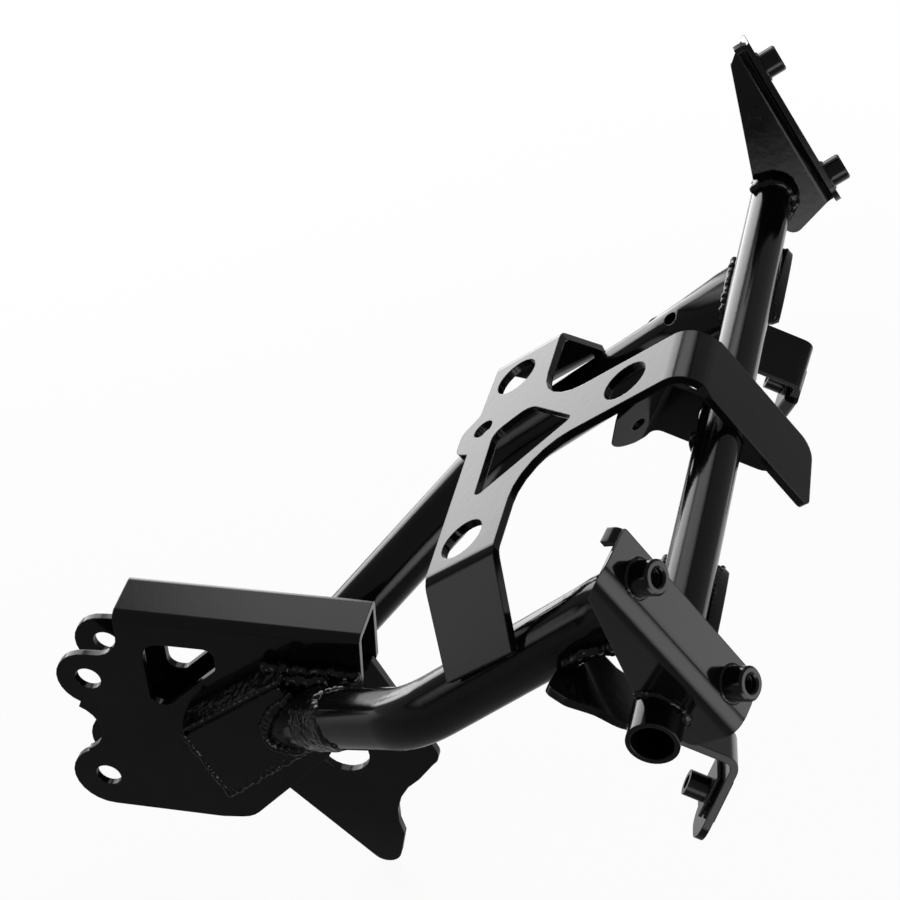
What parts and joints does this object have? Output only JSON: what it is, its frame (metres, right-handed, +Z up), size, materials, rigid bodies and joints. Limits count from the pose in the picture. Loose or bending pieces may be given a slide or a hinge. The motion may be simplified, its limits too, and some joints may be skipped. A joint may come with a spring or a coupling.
{
  "type": "motorcycle fairing stay",
  "caption": "Welded tubular front fairing stay: folded head channel with ears, curved side tubes to a cross tube, gauge plate, mirror plates with bosses and fairing tabs.",
  "frame": {"origin": "middle of the underside of the head channel's web, on the bike's centre plane, where the channel sits over its lug", "axes": "+Y forward, +Z up out of the web's top, +X to the bike's right; the side tubes rise forward to a cross tube along X"},
  "size_m": [0.306, 0.2918, 0.3129],
  "materials": {
    "black_enamel": "gloss black enamel on steel",
    "clip_steel": "black coated spring steel"
  },
  "bodies": {
    "root": {"head_channel": "black_enamel", "gusset_box_right": "black_enamel", "gusset_box_left": "black_enamel", "side_tube_right": "black_enamel", "side_tube_left": "black_enamel", "cross_tube": "black_enamel", "gauge_plate": "black_enamel", "mirror_plate_right": "black_enamel", "mirror_plate_left": "black_enamel", "mirror_boss_rear_right": "black_enamel", "mirror_boss_rear_left": "black_enamel", "mirror_boss_front_right": "black_enamel", "mirror_boss_front_left": "black_enamel", "side_bracket_right": "black_enamel", "side_bracket_left": "black_enamel", "clip_right": "clip_steel", "clip_left": "clip_steel", "clip_nut_right": "clip_steel", "clip_nut_left": "clip_steel", "centre_bracket": "black_enamel", "lower_plate": "black_enamel"}
  },
  "joints": []
}
